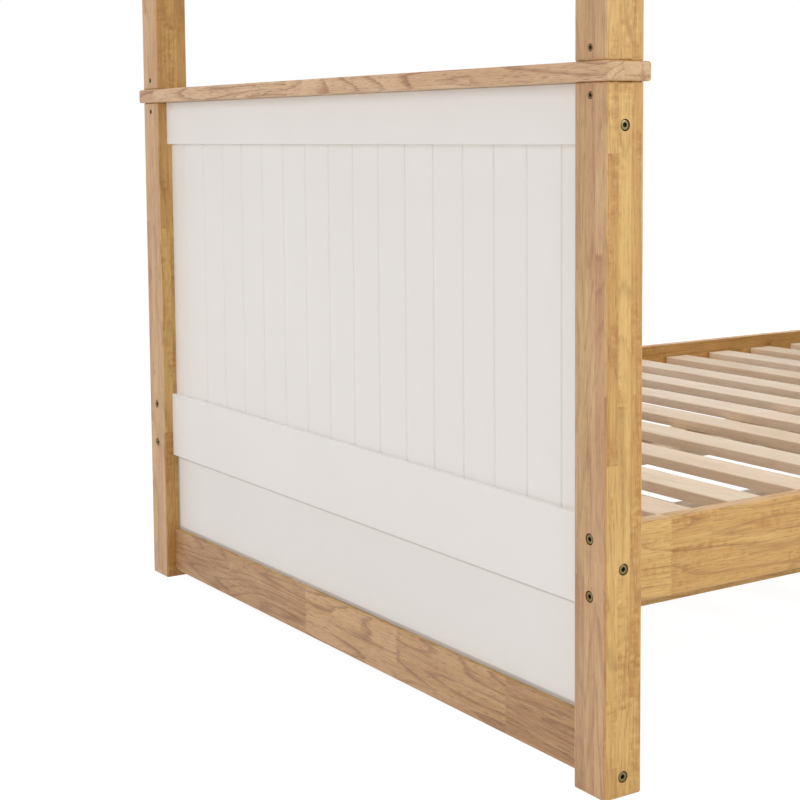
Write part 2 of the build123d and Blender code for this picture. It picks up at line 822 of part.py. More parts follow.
hanging = []
for level in LEVELS:
    hanging += ladder_screw_places(ladder_screw_heights(level), (0, 1))
hanging += ladder_screw_places(guard_bolt_heights(), (0,))
fixings = [place * wood_screw(ladder_screw) for place in hanging]
for which in (0, 1):
    fixings += [place * wood_screw(tread_screw) for place in tread_screw_places(which)]
for side in SIDES.values():
    fixings += [
        place * wood_screw(guard_screw) for place in guard_screw_places(side, guard_screw_heights())]
save("ladder_and_guard_screws", fixings)

save("trundle_front", make_trundle_front())
save("trundle_back", make_trundle_back())
save("trundle_bearers", [make_bearer(end) for end in ENDS.values()])
save("trundle_slat_rails", make_slat_rails())
save("trundle_slats", make_trundle_slats())
castors = [(end, row) for end in ENDS.values() for row in (0, 1)]
save("castor_forks", [castor_place(end, row) * make_fork() for end, row in castors])
save("castor_axles", [castor_place(end, row) * make_axle() for end, row in castors])
for end_name, end in ENDS.items():
    for row, row_name in enumerate(("front", "back")):
        save(f"castor_wheel_{end_name}_{row_name}", castor_place(end, row) * make_wheel())
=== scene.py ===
import json
import math

import bmesh
import bpy
from mathutils import Matrix, Vector

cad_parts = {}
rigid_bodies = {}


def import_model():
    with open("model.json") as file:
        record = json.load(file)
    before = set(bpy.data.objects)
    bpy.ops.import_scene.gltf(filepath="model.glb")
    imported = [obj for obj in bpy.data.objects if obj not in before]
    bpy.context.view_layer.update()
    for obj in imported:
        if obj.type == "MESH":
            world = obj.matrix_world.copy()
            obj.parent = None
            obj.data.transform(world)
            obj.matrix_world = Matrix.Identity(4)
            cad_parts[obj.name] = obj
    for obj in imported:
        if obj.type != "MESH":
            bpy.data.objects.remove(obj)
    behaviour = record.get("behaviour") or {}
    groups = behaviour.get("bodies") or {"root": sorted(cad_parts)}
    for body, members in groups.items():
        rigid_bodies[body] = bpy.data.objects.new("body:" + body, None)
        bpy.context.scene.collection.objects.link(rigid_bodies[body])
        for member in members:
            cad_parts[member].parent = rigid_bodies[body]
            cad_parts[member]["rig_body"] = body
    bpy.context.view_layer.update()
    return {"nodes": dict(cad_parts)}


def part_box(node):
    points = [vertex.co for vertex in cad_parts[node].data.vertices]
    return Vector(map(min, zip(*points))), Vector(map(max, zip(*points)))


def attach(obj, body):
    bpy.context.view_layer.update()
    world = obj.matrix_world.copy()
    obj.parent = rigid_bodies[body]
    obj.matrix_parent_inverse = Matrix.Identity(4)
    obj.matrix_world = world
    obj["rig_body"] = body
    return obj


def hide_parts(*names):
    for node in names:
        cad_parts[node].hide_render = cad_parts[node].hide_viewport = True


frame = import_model()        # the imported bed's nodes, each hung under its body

MM = 0.001

# Camera, solved from the photograph's straight edges: metres, degrees, and millimetres of film
CAMERA_PLACE = Vector((-2.43955, -2.38294, 0.91286))
CAMERA_YAW, CAMERA_PITCH, CAMERA_ROLL = 56.935, 5.082, -0.483
CAMERA_LENS, CAMERA_SENSOR = 73.95, 36.0
CAMERA_SHIFT_Y = -0.15
CAMERA_REACH = 100.0

# How far each kind of figure in the wood reaches, across the grain and along it
HEART_BLOT = (85 * MM, 750 * MM)
CLOUD_BLOT = (24 * MM, 110 * MM)
STREAK_BLOT = (4.5 * MM, 450 * MM)
FLECK_BLOT = (1.5 * MM, 45 * MM)
PORE_BLOT = (1.1 * MM, 22 * MM)
RIPPLE_BLOT = (17 * MM, 10 * MM)

# Staves: how far apart their places in the tree lie in metres, the steps that tell the halves of the
# bed and single boards apart, and how many stave lengths a column of staves may be shifted
TREE_SPREAD = 5.0
HALVES_APART = 40.0
BOARDS_APART = 89.0
STAVE_SHIFTS = 3
FINGER_PITCH = 4.4 * MM
FINGER_LENGTH = 5.0 * MM

# Growth rings: how many cross a heart field, how far streaks bend them, where in each ring the late
# wood's line starts and is full, and how dark the lines are
RING_COUNT = 15.0
RING_BEND = 0.035
LATE_WOOD_START, LATE_WOOD_FULL = 0.62, 0.95
RING_DARKNESS = 1.6

# How much each kind of figure moves the tone, and the cloud values over which ripples fade in
STAVE_WEIGHT, CLOUD_WEIGHT, STREAK_WEIGHT, FLECK_WEIGHT = 0.62, 0.9, 1.2, 0.75
RIPPLE_START, RIPPLE_FULL = 0.45, 0.62
RIPPLE_LOST_ON_X_FACES = 0.8

# Pores show where their noise passes these values, and knots sit in cells this many to the metre
PORE_START, PORE_FULL = 0.58, 0.70
KNOTS_PER_METRE = (9.0, 9.0, 3.2)
KNOT_DARKNESS = 0.75

# The faces along X are a little pinker, as a hue shift from 0.5
X_FACE_HUE = 0.49
WOOD_BUMP_HEIGHT = 0.15 * MM

# Painted shade: paint in a corner darkens within this reach, as open sky falls from the first value to the
# second
JOINT_SHADE_REACH = 8 * MM
JOINT_SHADE_START, JOINT_SHADE_FULL = 0.97, 0.87
JOINT_SHADE_SAMPLES = 8

# Slats and fixings
MERGE_DISTANCE = 0.001 * MM
SLAT_ROUNDING = 2.0 * MM
SLAT_ROUNDING_STEPS = 4
FIXING_SIDES = 24
SHARP_EDGE = 40
HEAD_SEARCH = 1.5 * MM
BOLT_HEAD_HEIGHT = 3.5 * MM
BOLT_FACE_RADIUS = 4.2 * MM
BOLT_KEY = 2.5 * MM
BOLT_KEY_DEPTH = 2.5 * MM

# Studio: the world's light on the bed, the floor's look to the camera, and the soft boxes by name,
# place, target, size and power
WORLD_LIGHT = 0.40
FLOOR_SHADE = 0.22
FLOOR_GLOW = 0.92
FLOOR_REACH = 30.0
SOFT_BOXES = (
    ("soft_box_front", (1.5, -5.0, 3.2), (0, 0, 0.8), 3.5, 165),
    ("soft_box_head", (-5.5, 0.5, 2.6), (0, 0, 0.8), 3.5, 81),
    ("soft_box_back", (5.0, 3.5, 2.6), (0, 0, 0.8), 3.5, 30),
    ("soft_box_top", (-0.6, 0.3, 5.0), (-0.6, 0.2, 0), 2.6, 136),
    ("soft_box_between", (-1.9, -2.6, 2.9), (0.4, 0.2, 0.3), 0.9, 6),
)

# The posts give the bed's middle, on which the wood's staves are centred
post_low, post_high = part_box("lower_post_head_front")
far_post_low, far_post_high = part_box("lower_post_foot_back")
bed_middle = Vector(((post_low.x + far_post_high.x) / 2, (post_low.y + far_post_high.y) / 2, 0))
post_inner = Vector((far_post_low.x, far_post_low.y, 0)) - bed_middle
post_stave = (post_high.x - post_low.x) / 3


def colour(code):
    """The linear colour of an sRGB hex value."""
    parts = [int(code[start:start + 2], 16) / 255 for start in (1, 3, 5)]
    return (*[part / 12.92 if part <= 0.04045 else ((part + 0.055) / 1.055) ** 2.4 for part in parts], 1.0)


def add(tree, kind, inputs=(), **settings):
    """Adds a node, sets its properties, and links or fills its inputs by name or number."""
    node = tree.nodes.new(kind)
    for name, value in settings.items():
        setattr(node, name, value)
    for name, value in dict(inputs).items():
        socket = node.inputs[name]
        if isinstance(value, bpy.types.NodeSocket):
            tree.links.new(value, socket)
        else:
            socket.default_value = value
    return node.outputs


def new_material(name):
    """An empty node material and its tree."""
    material = bpy.data.materials.new(name)
    material.use_nodes = True
    material.node_tree.nodes.clear()
    return material, material.node_tree


def finish_material(tree, inputs):
    """Closes a material with one Principled shader."""
    surface = add(tree, "ShaderNodeBsdfPrincipled", inputs)
    add(tree, "ShaderNodeOutputMaterial", {"Surface": surface["BSDF"]})


def stretched_noise(tree, field, blot, detail, roughness=0.5):
    """Noise in the wood's own axes, whose blots have a size across the grain and one along it."""
    across, along = blot
    scaled = add(tree, "ShaderNodeVectorMath", {0: field, 1: (1 / across, 1 / across, 1 / along)},
                 operation="MULTIPLY")[0]
    return add(tree, "ShaderNodeTexNoise", {
        "Vector": scaled, "Scale": 1.0, "Detail": detail, "Roughness": roughness})["Fac"]


def stave_numbers(tree, sides, staves):
    """The number of the stave on each side axis, with the two halves of the bed told apart."""
    numbers = []
    for side, (first, width) in zip(sides, staves):
        reach = add(tree, "ShaderNodeMath", {0: side}, operation="ABSOLUTE")[0]
        start = add(tree, "ShaderNodeMath", {0: reach, 1: first}, operation="SUBTRACT")[0]
        count = add(tree, "ShaderNodeMath", {0: start, 1: width}, operation="DIVIDE")[0]
        whole = add(tree, "ShaderNodeMath", {0: count}, operation="FLOOR")[0]
        half = add(tree, "ShaderNodeMath", {0: side, 1: 0.0}, operation="GREATER_THAN")[0]
        number = add(tree, "ShaderNodeMath", {0: half, 1: HALVES_APART, 2: whole},
                     operation="MULTIPLY_ADD")[0]
        numbers.append(number)
    return numbers


def stave_draw(tree, numbers, across, run, stave_length):
    """Random values for each stave. Staves are finger-jointed end to end along the run.

    A finger joint shows as a comb on one face and a line on the other.
    """
    column = add(tree, "ShaderNodeCombineXYZ", {0: numbers[0], 1: numbers[1]})[0]
    column_draw = add(tree, "ShaderNodeTexWhiteNoise", {0: column}, noise_dimensions="3D")[0]
    zigzag = add(tree, "ShaderNodeMath", {0: across, 1: FINGER_PITCH / 2}, operation="PINGPONG")[0]
    comb = add(tree, "ShaderNodeMath", {0: zigzag, 1: 2 * FINGER_LENGTH / FINGER_PITCH},
               operation="MULTIPLY")[0]
    slid = add(tree, "ShaderNodeMath", {0: column_draw, 1: STAVE_SHIFTS * stave_length, 2: comb},
               operation="MULTIPLY_ADD")[0]
    run = add(tree, "ShaderNodeMath", {0: run, 1: slid}, operation="ADD")[0]
    lengths = add(tree, "ShaderNodeMath", {0: run, 1: stave_length}, operation="DIVIDE")[0]
    length_number = add(tree, "ShaderNodeMath", {0: lengths}, operation="FLOOR")[0]
    cell = add(tree, "ShaderNodeCombineXYZ", {0: numbers[0], 1: numbers[1], 2: length_number})[0]
    return add(tree, "ShaderNodeTexWhiteNoise", {0: cell}, noise_dimensions="3D")


def ring_lines(tree, heart, streak, cloud, figure):
    """Growth rings: level lines of the heart field, with a slow ramp up to each dark late-wood line."""
    bent = add(tree, "ShaderNodeMath", {0: streak, 1: RING_BEND, 2: heart}, operation="MULTIPLY_ADD")[0]
    rings = add(tree, "ShaderNodeMath", {0: bent, 1: RING_COUNT}, operation="MULTIPLY")[0]
    ring = add(tree, "ShaderNodeMath", {0: rings}, operation="FRACT")[0]
    line = cloud
    for none, full in ((LATE_WOOD_START, LATE_WOOD_FULL), (1.0, LATE_WOOD_FULL)):
        ramp = add(tree, "ShaderNodeMapRange", {"Value": ring, "From Min": none, "From Max": full},
                   interpolation_type="SMOOTHSTEP")[0]
        line = add(tree, "ShaderNodeMath", {0: line, 1: ramp}, operation="MULTIPLY")[0]
    return add(tree, "ShaderNodeMath", {0: line, 1: figure * RING_DARKNESS}, operation="MULTIPLY")[0]


def ripples(tree, field, cloud, facing, curl):
    """Curly grain across the stave in patches, which hardly shows on the faces along X, around 0.5."""
    ripple = stretched_noise(tree, field, RIPPLE_BLOT, 3.0, 0.6)
    patch = add(tree, "ShaderNodeMapRange", {
        "Value": cloud, "From Min": RIPPLE_START, "From Max": RIPPLE_FULL, "To Max": curl},
        interpolation_type="SMOOTHSTEP")[0]
    shown = add(tree, "ShaderNodeMath", {0: facing, 1: -RIPPLE_LOST_ON_X_FACES, 2: 1.0},
                operation="MULTIPLY_ADD")[0]
    patch = add(tree, "ShaderNodeMath", {0: patch, 1: shown}, operation="MULTIPLY")[0]
    rippled = add(tree, "ShaderNodeMath", {0: ripple, 1: 0.5}, operation="SUBTRACT")[0]
    return add(tree, "ShaderNodeMath", {0: rippled, 1: patch, 2: 0.5}, operation="MULTIPLY_ADD")[0]


def wood(name, along, staves, stave_length, tones, figure, pore_depth, gloss, knots=0.0,
         x_face_tint_and_painted_light=(1.0, 1.0), contrast=1.0, curl=1.0, board=""):
    """Solid wood glued up from staves.

    along is the grain's axis. staves gives, for each of the other two axes, where the first glue
    line lies from the bed's middle and how wide a stave is. tones are the pale, deep, ring line and
    pore colours, figure is how strongly the growth rings show, and contrast how far staves differ.
    knots is a knot's reach, as a share of its cell. curl is how strongly the grain ripples, and the pair
    for the faces that look along X is their saturation, a tone of the grain, and their brightness,
    which is painted light and shade, against the others.
    board names an attribute that tells separate boards apart in place of the staves.
    """
    material, tree = new_material(name)
    place = add(tree, "ShaderNodeTexCoord")["Object"]
    centred = add(tree, "ShaderNodeMapping", {"Vector": place, "Location": -bed_middle})[0]
    axes = add(tree, "ShaderNodeSeparateXYZ", {0: centred})
    sides = [axes[index] for index in range(3) if index != along]
    if board:
        lot = add(tree, "ShaderNodeAttribute", attribute_name=board)["Fac"]
        numbers = [add(tree, "ShaderNodeMath", {0: lot, 1: BOARDS_APART}, operation="MULTIPLY")[0], 0.0]
    else:
        numbers = stave_numbers(tree, sides, staves)
    draw = stave_draw(tree, numbers, sides[1], axes[along], stave_length)

    # Each stave is cut from another place in the tree
    turned = add(tree, "ShaderNodeCombineXYZ", {0: sides[0], 1: sides[1], 2: axes[along]})[0]
    field = add(tree, "ShaderNodeVectorMath", {0: draw["Color"], 1: (TREE_SPREAD,) * 3, 2: turned},
                operation="MULTIPLY_ADD")[0]
    heart = stretched_noise(tree, field, HEART_BLOT, 1.0)
    cloud = stretched_noise(tree, field, CLOUD_BLOT, 3.0)
    streak = stretched_noise(tree, field, STREAK_BLOT, 4.0, 0.7)
    fleck = stretched_noise(tree, field, FLECK_BLOT, 2.0, 0.6)
    pores = stretched_noise(tree, field, PORE_BLOT, 1.0)
    line = ring_lines(tree, heart, streak, cloud, figure)

    # Faces that look along X are cut across the rays; their brightness below is painted light and shade
    normal = add(tree, "ShaderNodeNewGeometry")["Normal"]
    facing = add(tree, "ShaderNodeSeparateXYZ", {0: normal})[0]
    facing = add(tree, "ShaderNodeMath", {0: facing}, operation="ABSOLUTE")[0]
    rippled = ripples(tree, field, cloud, facing, curl)

    # Tone: one draw for each stave, then clouds, fine streaks, flecks and ripples
    tone = 0.5
    for value, weight in ((draw["Value"], STAVE_WEIGHT * contrast), (cloud, CLOUD_WEIGHT),
                          (streak, STREAK_WEIGHT), (fleck, FLECK_WEIGHT), (rippled, 1.0)):
        level = add(tree, "ShaderNodeMath", {0: value, 1: 0.5}, operation="SUBTRACT")[0]
        tone = add(tree, "ShaderNodeMath", {0: level, 1: weight, 2: tone}, operation="MULTIPLY_ADD")[0]
    pale, deep, line_tone, pore_tone = map(colour, tones)
    body = add(tree, "ShaderNodeMix", {0: tone, 6: pale, 7: deep}, data_type="RGBA")[2]
    ringed = add(tree, "ShaderNodeMix", {0: line, 6: body, 7: line_tone}, data_type="RGBA")[2]
    pore = add(tree, "ShaderNodeMapRange", {
        "Value": pores, "From Min": PORE_START, "From Max": PORE_FULL, "To Max": pore_depth})[0]
    pored = add(tree, "ShaderNodeMix", {0: pore, 6: ringed, 7: pore_tone}, data_type="RGBA")[2]
    if knots:
        speckle = add(tree, "ShaderNodeVectorMath", {0: field, 1: KNOTS_PER_METRE},
                      operation="MULTIPLY")[0]
        spot = add(tree, "ShaderNodeTexVoronoi", {"Vector": speckle, "Scale": 1.0})["Distance"]
        knot = add(tree, "ShaderNodeMapRange", {
            "Value": spot, "From Min": knots, "From Max": knots / 3, "To Max": KNOT_DARKNESS},
            interpolation_type="SMOOTHSTEP")[0]
        pored = add(tree, "ShaderNodeMix", {0: knot, 6: pored, 7: pore_tone}, data_type="RGBA")[2]
    # The faces along X get the grain's pinker hue and saturation, and a brightness that is painted light and
    # shade
    face_tinted_and_lit = add(tree, "ShaderNodeHueSaturation", {
        "Hue": X_FACE_HUE, "Saturation": x_face_tint_and_painted_light[0], "Value": x_face_tint_and_painted_light[1], "Fac": facing,
        "Color": pored})[0]

    rough = add(tree, "ShaderNodeMapRange", {
        "Value": cloud, "From Min": 0.3, "From Max": 0.7, "To Min": gloss - 0.05,
        "To Max": gloss + 0.07})[0]
    height = add(tree, "ShaderNodeMath", {0: pore, 1: -1.0, 2: streak}, operation="MULTIPLY_ADD")[0]
    bump = add(tree, "ShaderNodeBump", {
        "Height": height, "Strength": 0.25, "Distance": WOOD_BUMP_HEIGHT})[0]
    finish_material(tree, {"Base Color": face_tinted_and_lit, "Roughness": rough, "Normal": bump})
    return material


def white_paint(name, joint_shade=0.0):
    """Satin lacquer sprayed on MDF: an even warm white with a fine orange peel.

    joint_shade is how much painted shade darkens the paint in the corners where another board stands on it.
    """
    material, tree = new_material(name)
    place = add(tree, "ShaderNodeTexCoord")["Object"]
    haze = add(tree, "ShaderNodeTexNoise", {"Vector": place, "Scale": 3.0, "Detail": 2.0})["Fac"]
    peel = add(tree, "ShaderNodeTexNoise", {"Vector": place, "Scale": 1 / (2.5 * MM), "Detail": 1.0})["Fac"]
    paint = add(tree, "ShaderNodeMix", {0: haze, 6: colour("#EEEAE7"), 7: colour("#E8E4E0")},
                data_type="RGBA")[2]
    # Painted shade: the paint turns grey-brown in corners where ambient occlusion finds little open sky
    if joint_shade:
        open_sky = add(tree, "ShaderNodeAmbientOcclusion", {"Distance": JOINT_SHADE_REACH},
                       samples=JOINT_SHADE_SAMPLES)["AO"]
        painted_corner_shade = add(tree, "ShaderNodeMapRange", {
            "Value": open_sky, "From Min": JOINT_SHADE_START, "From Max": JOINT_SHADE_FULL,
            "To Max": joint_shade})[0]
        paint = add(tree, "ShaderNodeMix", {0: painted_corner_shade, 6: paint, 7: colour("#8F8780")},
                    data_type="RGBA")[2]
    rough = add(tree, "ShaderNodeMapRange", {"Value": haze, "To Min": 0.42, "To Max": 0.5})[0]
    bump = add(tree, "ShaderNodeBump", {"Height": peel, "Strength": 0.12, "Distance": 0.1 * MM})[0]
    finish_material(tree, {"Base Color": paint, "Roughness": rough, "Normal": bump})
    return material


def passivated_steel():
    """Yellow-passivated steel: an olive bronze with a green and pink tinge, with painted shade darkening the
    sockets and rims.
    """
    material, tree = new_material("passivated_steel")
    place = add(tree, "ShaderNodeTexCoord")["Object"]
    tinge = add(tree, "ShaderNodeTexNoise", {"Vector": place, "Scale": 1 / (4 * MM), "Detail": 2.0})["Fac"]
    grit = add(tree, "ShaderNodeTexNoise", {"Vector": place, "Scale": 1 / (0.8 * MM), "Detail": 1.0})["Fac"]
    plate = add(tree, "ShaderNodeMix", {0: tinge, 6: colour("#7E7B4E"), 7: colour("#8A6A52")},
                data_type="RGBA")[2]
    recess_shade_amount = add(tree, "ShaderNodeAttribute", attribute_name="painted_recess_shade")["Fac"]
    shaded = add(tree, "ShaderNodeMix", {0: recess_shade_amount, 6: plate, 7: colour("#241D14")}, data_type="RGBA")[2]
    rough = add(tree, "ShaderNodeMapRange", {"Value": grit, "To Min": 0.24, "To Max": 0.42})[0]
    finish_material(tree, {"Base Color": shaded, "Metallic": 1.0, "Roughness": rough})
    return material


def zinc_steel():
    """Bright zinc-plated pressed steel: cool grey with soft cloudy patches."""
    material, tree = new_material("zinc_plated_steel")
    place = add(tree, "ShaderNodeTexCoord")["Object"]
    patch = add(tree, "ShaderNodeTexNoise", {"Vector": place, "Scale": 1 / (12 * MM), "Detail": 3.0})["Fac"]
    plate = add(tree, "ShaderNodeMix", {0: patch, 6: colour("#C9CDD0"), 7: colour("#A9ADB0")},
                data_type="RGBA")[2]
    rough = add(tree, "ShaderNodeMapRange", {"Value": patch, "To Min": 0.25, "To Max": 0.45})[0]
    finish_material(tree, {"Base Color": plate, "Metallic": 1.0, "Roughness": rough})
    return material


def moulded_nylon():
    """Moulded nylon castor wheels: dark grey with the fine spark texture of the tool."""
    material, tree = new_material("moulded_nylon")
    place = add(tree, "ShaderNodeTexCoord")["Object"]
    spark = add(tree, "ShaderNodeTexNoise", {"Vector": place, "Scale": 1 / (0.9 * MM), "Detail": 1.0})["Fac"]
    scuff = add(tree, "ShaderNodeTexNoise", {"Vector": place, "Scale": 1 / (9 * MM), "Detail": 3.0})["Fac"]
    plastic = add(tree, "ShaderNodeMix", {0: scuff, 6: colour("#2C2D30"), 7: colour("#3F4043")},
                  data_type="RGBA")[2]
    rough = add(tree, "ShaderNodeMapRange", {"Value": scuff, "To Min": 0.4, "To Max": 0.6})[0]
    bump = add(tree, "ShaderNodeBump", {"Height": spark, "Strength": 0.3, "Distance": 0.1 * MM})[0]
    finish_material(tree, {"Base Color": plastic, "Roughness": rough, "Normal": bump})
    return material


def dress(material, *starts):
    """Gives a material to every CAD node whose name starts with one of the words."""
    for name, node in frame["nodes"].items():
        if name.startswith(starts):
            for slot in node.material_slots:
                slot.material = material


# Tones of the woods: pale, deep, ring line and pore
GOLDEN = ("#DDB670", "#B4803F", "#966530", "#6B4420")
TAN = ("#DDBE93", "#B58A5B", "#96693F", "#6E492C")
BROWN = ("#D3AE77", "#A8804E", "#8A603A", "#664424")
SLAT = ("#ECDFCD", "#DAC5A8", "#C8AC89", "#8C6947")

# The staves of rails are as wide as the rail, so their glue lines fall in the gaps between pieces
ALONG_X, ALONG_Y, ALONG_Z = range(3)
post_cells = ((post_inner.x, post_stave), (post_inner.y, post_stave))
end_rail_cells = ((0.0, 0.5), (0.15, 0.2))
side_rail_cells = ((0.0, 0.5), (0.0, 0.2))
upright_cells = ((0.0, 0.5), (0.0, 0.5))
# Each wood's second value for the faces along X is their brightness: painted light and shade
materials = {
    "post": wood("lacquered_rubberwood_posts", ALONG_Z, post_cells, stave_length=0.42, tones=GOLDEN,
                 figure=0.4, pore_depth=0.36, gloss=0.42, x_face_tint_and_painted_light=(0.86, 0.96), contrast=0.8, curl=1.9),
    "cap": wood("lacquered_rubberwood_caps", ALONG_Y, end_rail_cells, stave_length=0.55, tones=TAN,
                figure=0.8, pore_depth=0.65, gloss=0.42, x_face_tint_and_painted_light=(0.97, 1.0), contrast=1.2, curl=0.8),
    "cross": wood("lacquered_rubberwood_end_rails", ALONG_Y, end_rail_cells, stave_length=0.30,
                  tones=BROWN, figure=0.75, pore_depth=0.65, gloss=0.45, knots=0.035,
                  x_face_tint_and_painted_light=(0.97, 1.0), contrast=1.1),
    "rail": wood("lacquered_rubberwood_side_rails", ALONG_X, side_rail_cells, stave_length=0.62,
                 tones=GOLDEN, figure=0.55, pore_depth=0.45, gloss=0.42, knots=0.03,
                 x_face_tint_and_painted_light=(0.9, 0.96), contrast=0.7, curl=1.4),
    "upright": wood("lacquered_rubberwood_uprights", ALONG_Z, upright_cells, stave_length=0.5,
                    tones=GOLDEN, figure=0.4, pore_depth=0.45, gloss=0.42, x_face_tint_and_painted_light=(0.9, 0.96)),
    "slat": wood("sanded_slat_wood", ALONG_Y, upright_cells, stave_length=5.0, tones=SLAT, figure=0.25,
                 pore_depth=0.2, gloss=0.62, knots=0.035, x_face_tint_and_painted_light=(1.1, 1.14), contrast=0.9, curl=0.4,
                 board="board_draw"),
    "batten": wood("sanded_batten_wood", ALONG_X, side_rail_cells, stave_length=5.0, tones=SLAT,
                   figure=0.3, pore_depth=0.2, gloss=0.62),
}
paint = white_paint("satin_white_lacquer")
# The kick panels' paint carries painted shade in its corners
kick_paint_with_painted_shade = white_paint("satin_white_lacquer_kick_panels_painted_shade", joint_shade=0.5)
bolt_steel, zinc, nylon = passivated_steel(), zinc_steel(), moulded_nylon()

dress(materials["post"], "lower_post", "upper_post")
dress(materials["cap"], "lower_cap", "upper_cap")
dress(materials["cross"], "bottom_rail")
dress(materials["rail"], "lower_side_rail", "upper_side_rail", "guard_rails", "ladder_treads",
      "trundle_front", "trundle_back")
dress(materials["upright"], "ladder_stringers", "guard_uprights")
dress(materials["slat"], "lower_slats", "upper_slats", "trundle_slats", "trundle_bearers", "cap_dowels")
dress(materials["batten"], "slat_ledgers", "centre_beams", "trundle_slat_rails")
dress(paint, "lower_cross", "lower_top", "lower_bead", "upper_cross", "upper_top", "upper_bead")
dress(kick_paint_with_painted_shade, "kick_panel")
dress(bolt_steel, "frame_bolts", "barrel_nuts", "pin_screws", "ladder_and_guard_screws")
dress(zinc, "joining_pins", "beam_brackets", "slat_screws", "castor_forks", "castor_axles")
dress(nylon, "castor_wheel")


def solids(node):
    """The separate solids of a CAD node, each as the list of its points."""
    shape = bmesh.new()
    shape.from_mesh(frame["nodes"][node].data)
    bmesh.ops.remove_doubles(shape, verts=shape.verts, dist=MERGE_DISTANCE)
    left, found = set(shape.verts), []
    while left:
        grown, edge = [], [left.pop()]
        while edge:
            point = edge.pop()
            grown.append(point.co.copy())
            near = {other for link in point.link_edges for other in link.verts} & left
            left -= near
            edge.extend(near)
        found.append(grown)
    shape.free()
    return found


def corners(points):
    """The lowest and highest corner of some points."""
    low, high = (Vector(pick(point[axis] for point in points) for axis in range(3)) for pick in (min, max))
    return low, high


def new_geometry_tree(name, inputs):
    """An empty geometry tree with one mesh output and named inputs, given as name: socket kind."""
    tree = bpy.data.node_groups.new(name, "GeometryNodeTree")
    tree.interface.new_socket("Geometry", in_out="INPUT", socket_type="NodeSocketGeometry")
    for label, kind in inputs.items():
        tree.interface.new_socket(label, in_out="INPUT", socket_type="NodeSocket" + kind)
    tree.interface.new_socket("Geometry", in_out="OUTPUT", socket_type="NodeSocketGeometry")
    return tree


def grow(name, tree, values, material, points=(), directions=()):
    """Runs a geometry tree on some points with its inputs set, and returns the result as a plain piece."""
    mesh = bpy.data.meshes.new(name)
    mesh.from_pydata([tuple(point) for point in points], [], [])
    if directions:
        out = mesh.attributes.new("out", "FLOAT_VECTOR", "POINT")
        out.data.foreach_set("vector", [part for direction in directions for part in direction])
    piece = bpy.data.objects.new(name, mesh)
    bpy.context.scene.collection.objects.link(piece)
    modifier = piece.modifiers.new("grow", "NODES")
    modifier.node_group = tree
    for item in tree.interface.items_tree:
        if item.in_out == "INPUT" and item.name in values:
            modifier[item.identifier] = values[item.name]
        elif item.in_out == "INPUT" and item.name == "Material":
            modifier[item.identifier] = material
    graph = bpy.context.evaluated_depsgraph_get()
    grown = bpy.data.meshes.new_from_object(piece.evaluated_get(graph), depsgraph=graph)
    piece.modifiers.clear()
    piece.data = grown
    grown.name = name
    return piece


def slat_tree():
    """Rounded boards laid side by side along X, each with its own random tone."""
    tree = new_geometry_tree("slat_deck", {
        "Count": "Int", "Pitch": "Float", "Length": "Float", "Width": "Float", "Thickness": "Float",
        "Rounding": "Float", "First": "Vector", "Seed": "Int", "Material": "Material"})
    given = add(tree, "NodeGroupInput")
    step = add(tree, "ShaderNodeCombineXYZ", {0: given["Pitch"]})[0]
    places = add(tree, "GeometryNodeMeshLine", {
        "Count": given["Count"], "Start Location": given["First"], "Offset": step})[0]
    section = add(tree, "GeometryNodeCurvePrimitiveQuadrilateral", {
        "Width": given["Width"], "Height": given["Thickness"]})[0]
    eased = add(tree, "GeometryNodeFilletCurve", {
        "Curve": section, "Radius": given["Rounding"], "Count": SLAT_ROUNDING_STEPS}, mode="POLY")[0]
    half = add(tree, "ShaderNodeMath", {0: given["Length"], 1: 0.5}, operation="MULTIPLY")[0]
    back = add(tree, "ShaderNodeMath", {0: half, 1: -1.0}, operation="MULTIPLY")[0]
    ends = [add(tree, "ShaderNodeCombineXYZ", {1: end})[0] for end in (back, half)]
    spine = add(tree, "GeometryNodeCurvePrimitiveLine", {"Start": ends[0], "End": ends[1]})[0]
    board = add(tree, "GeometryNodeCurveToMesh", {
        "Curve": spine, "Profile Curve": eased, "Fill Caps": True})[0]
    laid = add(tree, "GeometryNodeInstanceOnPoints", {"Points": places, "Instance": board})[0]
    draw = add(tree, "FunctionNodeRandomValue", {"Seed": given["Seed"]}, data_type="FLOAT")[1]
    toned = add(tree, "GeometryNodeStoreNamedAttribute", {
        "Geometry": laid, "Name": "board_draw", "Value": draw}, domain="INSTANCE", data_type="FLOAT")[0]
    made = add(tree, "GeometryNodeRealizeInstances", {0: toned})[0]
    dressed = add(tree, "GeometryNodeSetMaterial", {"Geometry": made, "Material": given["Material"]})[0]
    add(tree, "NodeGroupOutput", {0: dressed})
    return tree


def lay_slats(tree, node, seed):
    """Stands a deck of grown slats where the CAD slats are."""
    boards = sorted((corners(points) for points in solids(node)), key=lambda box: box[0].x)
    low, high = boards[0]
    size = high - low
    values = {"Count": len(boards), "Pitch": boards[1][0].x - low.x, "Length": size.y, "Width": size.x,
              "Thickness": size.z, "Rounding": SLAT_ROUNDING, "First": (low + high) / 2, "Seed": seed}
    piece = grow(node + "_deck", tree, values, materials["slat"])
    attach(piece, frame["nodes"][node]["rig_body"])
    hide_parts(node)


